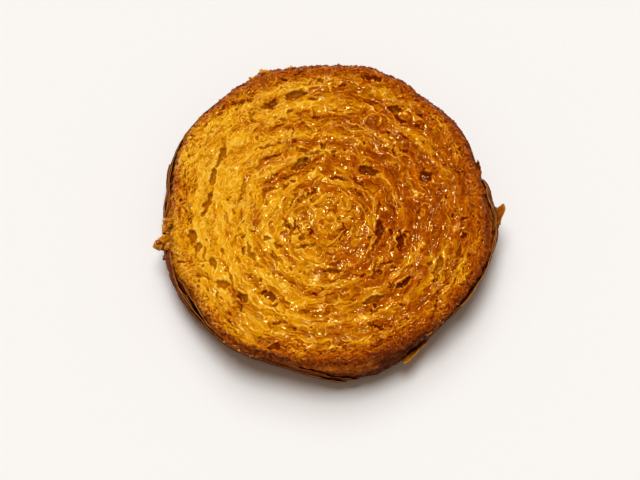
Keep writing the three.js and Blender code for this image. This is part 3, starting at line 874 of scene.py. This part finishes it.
def tuft_piece(draw, k, tuft):
    """One knob or thread of a tuft, with its masks."""
    angle, z, spread, rise, reach, _, browned = tuft
    at = angle + draw.normal(0, spread * 0.55)
    height = z + draw.normal(0, rise * 0.5)
    out = reach * draw.uniform(-0.3, 1.0) * bell((at - angle) / spread)
    r = wall_at(at, min(height, TUFT_TOP)) + out - 0.3
    place, outward = polar_points(at, r, height), outward_at(at, 0.15)
    if k % THREAD_EVERY == THREAD_EVERY - 1:
        points, faces = thread(draw, place, draw.uniform(0.8, 1.8), draw.uniform(0.1, 0.2), outward)
    else:
        size = draw.uniform(0.35, 0.85) * min(1, 0.35 + 0.4 * rise)
        points, faces = knob(draw, place, size, outward * 0.8)
    tone = draw.uniform(0.4, 0.9) - 0.4 * browned
    brown = min(1, draw.uniform(0.2, 1.0) + 0.5 * browned)
    toasted = min(1, draw.uniform(0.0, 0.2) + 0.8 * browned)
    return points, faces, even_masks(len(points), tone=tone, pit=0, film=0.5, brown=brown, toasted=toasted)


def rim_piece(draw):
    """One small knob or thread at the rim, with its masks."""
    at = draw.uniform(0, 360)
    height = THICKNESS - RIM_DROP + draw.normal(-0.6, 0.35)
    r = face_radius(at) + draw.normal(-0.6, 0.25)
    place, outward = polar_points(at, r, height), outward_at(at, 0.1) * 0.3
    if draw.random() < RIM_THREADS:
        points, faces = thread(draw, place, draw.uniform(0.6, 1.3), draw.uniform(0.08, 0.16), outward)
    else:
        points, faces = knob(draw, place, draw.uniform(0.16, 0.34), outward)
    tone, brown, toasted = draw.uniform(0.25, 0.85), draw.uniform(0.3, 0.9), draw.uniform(0.3, 0.8)
    return points, faces, even_masks(len(points), tone=tone, pit=0, film=0.4, brown=brown, toasted=toasted)


def make_tufts(material):
    """Torn crumb that hangs out at the rim, and the small knobs all along it."""
    draw = np.random.default_rng(TUFT_SEED)
    parts = [tuft_piece(draw, k, tuft) for tuft in TUFTS for k in range(tuft[5])]
    parts += [rim_piece(draw) for _ in range(RIM_KNOBS)]
    points, faces, masks = join(parts)
    make_piece("crumb_tufts", points, faces, masks, planar_uv(points, 56), material)


# ---- Sheets and flakes of crust ----
def shell(outer, inner):
    """A closed thin sheet from its two sides, each a grid of points: columns along it, rows down it."""
    columns, rows = outer.shape[:2]
    points = two_sides(outer, inner).reshape(-1, 3)
    sides = grid_faces(columns, 2 * rows, True)
    i = np.arange(rows - 1)
    j = 2 * rows - 1 - i
    start = np.concatenate([np.stack([i, j, i + 1], 1), np.stack([i + 1, j, j - 1], 1)])
    end = start[:, ::-1] + (columns - 1) * 2 * rows
    return points, np.concatenate([sides, start, end])


def two_sides(outer, inner):
    """Values on a shell's points from those on the grids of its two sides."""
    return np.concatenate([outer, inner[:, ::-1]], axis=1)


def stand_off(angle):
    return np.interp(angle % 360, *np.array(STAND_OFF).T)


def sheet_heights(k, angle, top_first, top_last):
    """Heights of a sheet's points, from its ragged free edge down, and the share of the way down."""
    share = (angle - angle[0]) / (angle[-1] - angle[0])
    from_end = np.minimum(angle - angle[0], angle[-1] - angle) / SHEET_END_OVER
    ends = ease(from_end + ring_noise(angle, k, SHEET_ENDS))
    ragged = ring_noise(angle, top_first, SHEET_EDGE) + ring_noise(angle, k, SHEET_EDGE_FINE)
    top = top_first + (top_last - top_first) * share + ragged
    low = SHEET_LOW + ring_noise(angle, k, SHEET_FOOT)
    top = np.maximum(top * (SHEET_END_LOW + (1 - SHEET_END_LOW) * ends), low + 1)
    down = np.linspace(0, 1, SHEET_ROWS) ** SHEET_ROWS_CLOSER
    return top[:, None] + (low - top)[:, None] * down[None, :], down[None, :]


def sheet_shape(k, first, last, top_first, top_last, out, lean, taper):
    """Outer and inner sides of a loose sheet of crust, with the angles and heights of its points."""
    columns = int(math.radians(last - first) * MEAN_RADIUS / SHEET_COLUMN)
    angle = np.linspace(first, last, columns)
    z, down = sheet_heights(k, angle, top_first, top_last)
    a = np.broadcast_to(angle[:, None], z.shape)
    tapered = ease(np.minimum(angle - first, last - angle) / taper)
    loose = np.clip(LOOSE_MEAN + ring_noise(angle, k, SHEET_LOOSE), 0, LOOSE_MOST) * tapered
    stand = out * stand_off(a) * ease(z / STAND_OVER) * loose[:, None]
    curl = lean * loose[:, None] * (1 - down) ** 3
    middle = wall_at(a, z) + stand + curl + ring_noise(a, z, SHEET_RIPPLE, k)
    thin = SHEET_EDGE_THIN + (1 - SHEET_EDGE_THIN) * ease(down * SHEET_EDGE_OVER)
    half = SHEET_THICK * thin / 2
    return polar_points(a, middle + half, z), polar_points(a, middle - half, z), a, z


def make_sheets(material):
    for k, (first, last, top_first, top_last, out, lean, shade, taper) in enumerate(SHEETS):
        outer, inner, a, z = sheet_shape(k, first, last, top_first, top_last, out, lean, taper)
        points, faces = shell(outer, inner)
        grain = ring_noise(a, z, SHEET_GRAIN, k)
        below = z[:, :1] - z
        outside = 0.18 + 0.25 * shade + 1.2 * grain + 0.35 * bell(below / 0.45)
        inside = 0.2 + grain + 0.3 * bell(below / 0.9) + 0.4 * bell(below / 0.25)
        masks = even_masks(len(points), pit=0, film=0.5, brown=0.9)
        masks["toasted"] = two_sides(np.ones(z.shape), np.full(z.shape, 0.45)).ravel()
        masks["tone"] = np.clip(two_sides(outside, inside), 0, 1).ravel()
        u = (two_sides(a, a).ravel() - first) / (last - first)
        uv = np.stack([u, two_sides(z, z).ravel() / THICKNESS], 1)
        make_piece(f"crust_sheet_{k + 1}", points, faces, masks, uv, material)


def flake(k, at, low, high, half, reach, twist, glaze):
    """Points, triangles, masks and unwrapped places of one flake."""
    u, v = np.meshgrid(*(np.linspace(start, 1, n) for start, n in zip((-1, 0), FLAKE_POINTS)), indexing="ij")
    torn = 1 + flake_noise(u, v, k, FLAKE_TORN)
    angle = at + half * u * torn
    z = low + (high - low) * (0.5 + (v - 0.5) * torn * (1 - 0.35 * u**2)) + 0.5 * twist * u
    root = wall_at(angle, np.full(z.shape, min(low, FLAKE_ROOT_TOP))) + 0.6 * stand_off(angle)
    curl = reach * v * (0.55 + 0.45 * ease(0.5 + 0.7 * u * np.sign(twist)))
    r = root + curl - 0.3 + flake_noise(u, v, k, FLAKE_WAVE)
    edge = np.maximum(np.abs(u), np.abs(2 * v - 1))
    thick = FLAKE_HALF_THICK * (1 - 0.5 * edge**6)
    points, faces = shell(polar_points(angle, r + thick, z), polar_points(angle, r - thick, z))
    tone = np.clip(0.3 + 0.2 * glaze + 0.3 * edge**8 + flake_noise(u, v, k, FLAKE_GRAIN), 0, 1)
    masks = even_masks(len(points), pit=0, film=0.9, brown=0.7, toasted=1 - 0.75 * glaze)
    masks["tone"] = two_sides(tone, tone).ravel()
    across = (k + 0.05 + 0.45 * (two_sides(u, u).ravel() + 1)) / len(FLAKES)
    return points, faces, masks, np.stack([across, two_sides(v, v).ravel()], 1)


def make_flakes(material):
    """Broken bits of sheet that curl out from the side."""
    flakes = [flake(k, *row) for k, row in enumerate(FLAKES)]
    points, faces, masks = join([parts[:3] for parts in flakes])
    make_piece("crust_flakes", points, faces, masks, np.concatenate([parts[3] for parts in flakes]), material)


# ---- The disc's own skin ----
def make_face(material):
    cuts = (0, INNER_SHARE, MIDDLE_SHARE, 1)
    for name, low, high in zip(("crumb_inner", "crumb_middle", "crumb_outer"), cuts, cuts[1:]):
        xy, faces = disc_grid(face_radius, low, high, FACE_STEP)
        height, masks = face_surface(xy[:, 0], xy[:, 1])
        angle = np.degrees(np.arctan2(xy[:, 1], xy[:, 0]))
        r = np.hypot(xy[:, 0], xy[:, 1])
        stirred = ease((RIM_STIR - (face_radius(angle) - r)) / RIM_STIR)
        points = polar_points(angle, r + stirred * rim_jag(angle, height), height)
        make_piece(name, points, faces, masks, planar_uv(points, GRID_HALF * high), material)


def wall_section(angle):
    """Radii and heights of the side's rows, from inside the crumb's rim over the gap and down to the base."""
    rim = face_radius(angle)
    c, s = circle(angle)
    rim_height, _ = face_surface(rim * c, rim * s)
    depth, width = gap_depth(angle), gap_width(angle)
    jag = rim_jag(angle, rim_height)
    lip = THICKNESS - RIM_DROP - RIM_BELOW
    radii = [rim - 0.6, rim + jag, rim + GAP_FLOOR_SHARE * width + 0.6 * jag, rim + width + 0.5 * jag]
    heights = [rim_height - 0.5, rim_height - 0.02, np.minimum(lip - depth, rim_height - 0.2)]
    heights.append(lip - LIP_DROP * depth)
    for z in np.linspace(WALL_TOP, 0, WALL_ROWS - len(heights)):
        torn = 0.5 * jag * ease((z - WALL_JAG_FROM) / WALL_JAG_OVER)
        uneven = bells(angle, WALL_BULGES) + ring_noise(angle, z, WALL_ROUGH) + torn
        radii.append(wall_at(angle, z) + uneven * ease(z / 1.5))
        heights.append(np.full(len(angle), z))
    return np.array(radii), np.array(heights)


def make_wall(material):
    """The crust's skin from the crumb's rim down to the base."""
    angle = 360.0 * np.arange(WALL_COLUMNS) / WALL_COLUMNS
    r, z = wall_section(angle)
    a = np.broadcast_to(angle, r.shape)
    points = polar_points(a, r, z).reshape(-1, 3)
    below = np.maximum(THICKNESS - RIM_DROP - z, 0)
    crumb = bell(below / CRUMB_ON_WALL) * (1 - ease(gap_depth(a)))
    # Painted light: inside the shaded gap the wall is paler and less toasted.
    gap_painted_light = ease(gap_depth(a) - 0.3) * bell((below - 2) / 3)
    masks = even_masks(r.size, pit=0, film=0.5, brown=0.9)
    masks["tone"] = np.clip(0.06 + ring_noise(a, z, WALL_TONE) + 0.2 * crumb + 0.34 * gap_painted_light, 0, 1).ravel()
    masks["toasted"] = np.clip(1 - 0.45 * crumb - 0.6 * gap_painted_light, 0, 1).ravel()
    uv = np.stack([a / 360, 0.02 + z / 16], -1).reshape(-1, 2)
    make_piece("crust_wall", points, grid_faces(len(r), WALL_COLUMNS, True), masks, uv, material)


def base_radius(angle):
    return wall_radius(angle) - BASE_EDGE_INWARD


def make_base(material):
    xy, faces = disc_grid(base_radius, 0, 1, BASE_STEP)
    x, y = xy[:, 0], xy[:, 1]
    r = np.hypot(x, y)
    hollow_share = np.maximum(0, layered(x, y, r, BASE_HOLLOWS) + 0.1)
    z = BASE_HOLLOW_DEPTH * hollow_share * ease((BASE_FLAT_FROM - r) / 4) * ease((r - 3) / 3)
    points = np.column_stack([xy, z])
    masks = even_masks(len(x), pit=0, film=0.4, brown=0.6, toasted=0.8)
    # Painted shade: the base is darker in its hollows.
    masks["tone"] = np.clip(0.5 + layered(x, y, 0, BASE_TONE) - 0.3 * hollow_share, 0.02, 1)
    make_piece("base_crust", points, faces[:, ::-1], masks, planar_uv(points, 50), material)


# ---- Materials ----
# colours by tone, from dark to pale, as display values
GOLDEN = (
    (0, (150, 86, 0)), (0.3, (206, 128, 0)), (0.55, (240, 164, 8)),
    (0.8, (255, 200, 60)), (1, (255, 228, 150)),
)
CARAMEL = (
    (0, (100, 28, 0)), (0.3, (146, 58, 0)), (0.55, (190, 92, 0)),
    (0.8, (230, 138, 14)), (1, (255, 200, 104)),
)
TOASTED = ((0, (70, 26, 8)), (0.3, (112, 56, 24)), (0.6, (168, 96, 40)), (1, (232, 168, 98)))
PIT_SHADE_COLOURS = ((0, (186, 106, 0)), (1, (112, 30, 0)))  # painted shade inside the openings, by browning
PAPER = ((0, (248, 246, 243)), (1, (251, 249, 246)))
# grain: repeats to a metre, roughness, share in the tone
GRAIN = (1300.0, 0.55, 0.15)
COARSE_GRAIN = (420.0, 0.55, 0.25)
GRAIN_BUMP, GRAIN_BUMP_HEIGHT = 0.7, 0.00018
DRY_ROUGHNESS, FILM_SMOOTHER = 0.5, 0.3
GLAZE_ROUGHNESS = 0.1
DEPTH_BY_COLOUR = (1.0, 0.5, 0.2)  # red light goes deepest into the crumb
DEPTH_WEIGHT = 0.5


def linear(red, green, blue):
    """Linear colour from 0..255 display values."""
    def one(v):
        v = v / 255
        return v / 12.92 if v <= 0.04045 else ((v + 0.055) / 1.055) ** 2.4

    return (one(red), one(green), one(blue), 1)


def fill(tree, socket, value):
    """Links a socket, or sets its value."""
    if isinstance(value, bpy.types.NodeSocket):
        tree.links.new(value, socket)
    else:
        socket.default_value = value


def add(tree, kind, **inputs):
    node = tree.nodes.new(kind)
    for key, value in inputs.items():
        fill(tree, node.inputs[key.replace("_", " ")], value)
    return node


def ramp(tree, factor, stops):
    node = tree.nodes.new("ShaderNodeValToRGB")
    elements = node.color_ramp.elements
    while len(elements) < len(stops):
        elements.new(0.5)
    for element, (place, colour) in zip(elements, stops):
        element.position = place
        element.color = linear(*colour)
    tree.links.new(factor, node.inputs["Fac"])
    return node.outputs["Color"]


def attribute(tree, name):
    node = tree.nodes.new("ShaderNodeAttribute")
    node.attribute_name = name
    return node.outputs["Fac"]


def math_node(tree, operation, *values, clamp=False):
    node = tree.nodes.new("ShaderNodeMath")
    node.operation = operation
    node.use_clamp = clamp
    for socket, value in zip(node.inputs, values):
        fill(tree, socket, value)
    return node.outputs[0]


def blend_colours(tree, factor, a, b):
    node = tree.nodes.new("ShaderNodeMix")
    node.data_type = "RGBA"
    tree.links.new(factor, node.inputs[0])
    tree.links.new(a, node.inputs[6])
    tree.links.new(b, node.inputs[7])
    return node.outputs[2]


def grain_node(tree, place, grain):
    scale, roughness, _ = grain
    node = add(tree, "ShaderNodeTexNoise", Vector=place, Scale=scale, Detail=3.0, Roughness=roughness)
    return node.outputs["Fac"]


def grained(tree, tone, noise_out, grain):
    """The tone, stirred by a grain round its middle."""
    off_middle = math_node(tree, "SUBTRACT", noise_out, 0.5)
    return math_node(tree, "MULTIPLY_ADD", off_middle, grain[2], tone, clamp=True)


def pastry_material(name, glaze, depth_of_light):
    """Crumb or crust by the masks on its points, with this much glaze and this depth of light in mm."""
    material = bpy.data.materials.new(name)
    material.use_nodes = True
    tree = material.node_tree
    tree.nodes.clear()
    place = add(tree, "ShaderNodeTexCoord").outputs["Object"]
    fine = grain_node(tree, place, GRAIN)
    tone = grained(tree, attribute(tree, "tone"), fine, GRAIN)
    tone = grained(tree, tone, grain_node(tree, place, COARSE_GRAIN), COARSE_GRAIN)
    brown = attribute(tree, "brown")
    colour = blend_colours(tree, brown, ramp(tree, tone, GOLDEN), ramp(tree, tone, CARAMEL))
    # painted shade: the openings are darker and redder inside
    colour = blend_colours(tree, attribute(tree, "pit"), colour, ramp(tree, brown, PIT_SHADE_COLOURS))
    colour = blend_colours(tree, attribute(tree, "toasted"), colour, ramp(tree, tone, TOASTED))
    roughness = math_node(tree, "MULTIPLY_ADD", attribute(tree, "film"), -FILM_SMOOTHER, DRY_ROUGHNESS)
    bump = add(tree, "ShaderNodeBump", Height=fine, Strength=GRAIN_BUMP, Distance=GRAIN_BUMP_HEIGHT)
    normal = bump.outputs["Normal"]
    shader = add(
        tree, "ShaderNodeBsdfPrincipled", Base_Color=colour, Roughness=roughness, Normal=normal,
        Specular_IOR_Level=0.0, Coat_Weight=glaze, Coat_Roughness=GLAZE_ROUGHNESS,
        Subsurface_Weight=DEPTH_WEIGHT if depth_of_light else 0.0, Subsurface_Radius=DEPTH_BY_COLOUR,
        Subsurface_Scale=depth_of_light * MM,
    )
    output = tree.nodes.new("ShaderNodeOutputMaterial")
    tree.links.new(shader.outputs[0], output.inputs["Surface"])
    return material


# ---- Stage ----
FLOOR_SIZE = 4.0
PAPER_FIBRE = 900.0  # repeats to a metre
CAMERA_PLACE = (0.0, -297.8, 642.4)
CAMERA_TARGET = (-3.3, -9.8, 15.0)
LENS_MM = 131.0
DAYLIGHT = (0.981, 1.018, 1.056)
GLINT_COLOUR = (1.0, 0.82, 0.27)
WORLD_COLOUR, WORLD_STRENGTH = (1.0, 0.79, 0.6, 1), 0.24
# name, where it stands, strength, spread in degrees, colour, whether it lights, whether it is mirrored
SUNS = (
    ("high_light", (-0.06, 0.18, 1.0), 1.72, 30, DAYLIGHT, True, False),
    ("low_light", (-0.1, 0.72, 1.0), 0.96, 36, DAYLIGHT, True, False),
    ("glint_light", (-0.15, 0.5, 1.0), 0.42, 5, GLINT_COLOUR, False, True),
)


def make_floor():
    material = bpy.data.materials.new("floor_paper")
    material.use_nodes = True
    tree = material.node_tree
    shader = tree.nodes["Principled BSDF"]
    place = add(tree, "ShaderNodeTexCoord").outputs["Object"]
    fibre = add(tree, "ShaderNodeTexNoise", Vector=place, Scale=PAPER_FIBRE, Detail=2.0).outputs["Fac"]
    tree.links.new(ramp(tree, fibre, PAPER), shader.inputs["Base Color"])
    shader.inputs["Roughness"].default_value = 0.8
    shader.inputs["Specular IOR Level"].default_value = 0.1
    half = FLOOR_SIZE / 2
    corners = [(-half, -half, 0), (half, -half, 0), (half, half, 0), (-half, half, 0)]
    mesh = bpy.data.meshes.new("floor")
    mesh.from_pydata(corners, [], [(0, 1, 2, 3)])
    mesh.materials.append(material)
    floor = new_object("floor", mesh)


def look_along(thing, target):
    direction = Vector(target) - thing.location
    thing.rotation_euler = direction.to_track_quat("-Z", "Y").to_euler()


def make_sun(name, place, strength, spread, colour, lights, mirrored):
    data = bpy.data.lights.new(name, "SUN")
    data.energy = strength
    data.angle = math.radians(spread)
    data.color = colour
    sun = new_object(name, data)
    sun.location = place
    sun.visible_diffuse = lights
    sun.visible_glossy = mirrored
    look_along(sun, (0, 0, 0))


def make_camera():
    data = bpy.data.cameras.new("camera")
    data.lens = LENS_MM
    data.clip_start = 0.01
    camera = new_object("camera", data)
    camera.location = [v * MM for v in CAMERA_PLACE]
    look_along(camera, [v * MM for v in CAMERA_TARGET])
    bpy.context.scene.camera = camera


def make_stage():
    make_floor()
    make_camera()
    for sun in SUNS:
        make_sun(*sun)
    world = bpy.data.worlds.new("studio")
    world.use_nodes = True
    background = world.node_tree.nodes["Background"]
    background.inputs["Color"].default_value = WORLD_COLOUR
    background.inputs["Strength"].default_value = WORLD_STRENGTH
    world.cycles_visibility.glossy = False
    bpy.context.scene.world = world
    bpy.context.scene.view_settings.view_transform = "Standard"


crumb_material = pastry_material("glazed_crumb", 1.0, 1.0)
scrap_material = pastry_material("glazed_scraps", 0.8, 0.0)
crust_material = pastry_material("dry_crust", 0.06, 0.0)
make_stage()
make_face(crumb_material)
make_wall(crust_material)
make_sheets(crust_material)
make_flakes(scrap_material)
make_tufts(scrap_material)
make_base(crust_material)
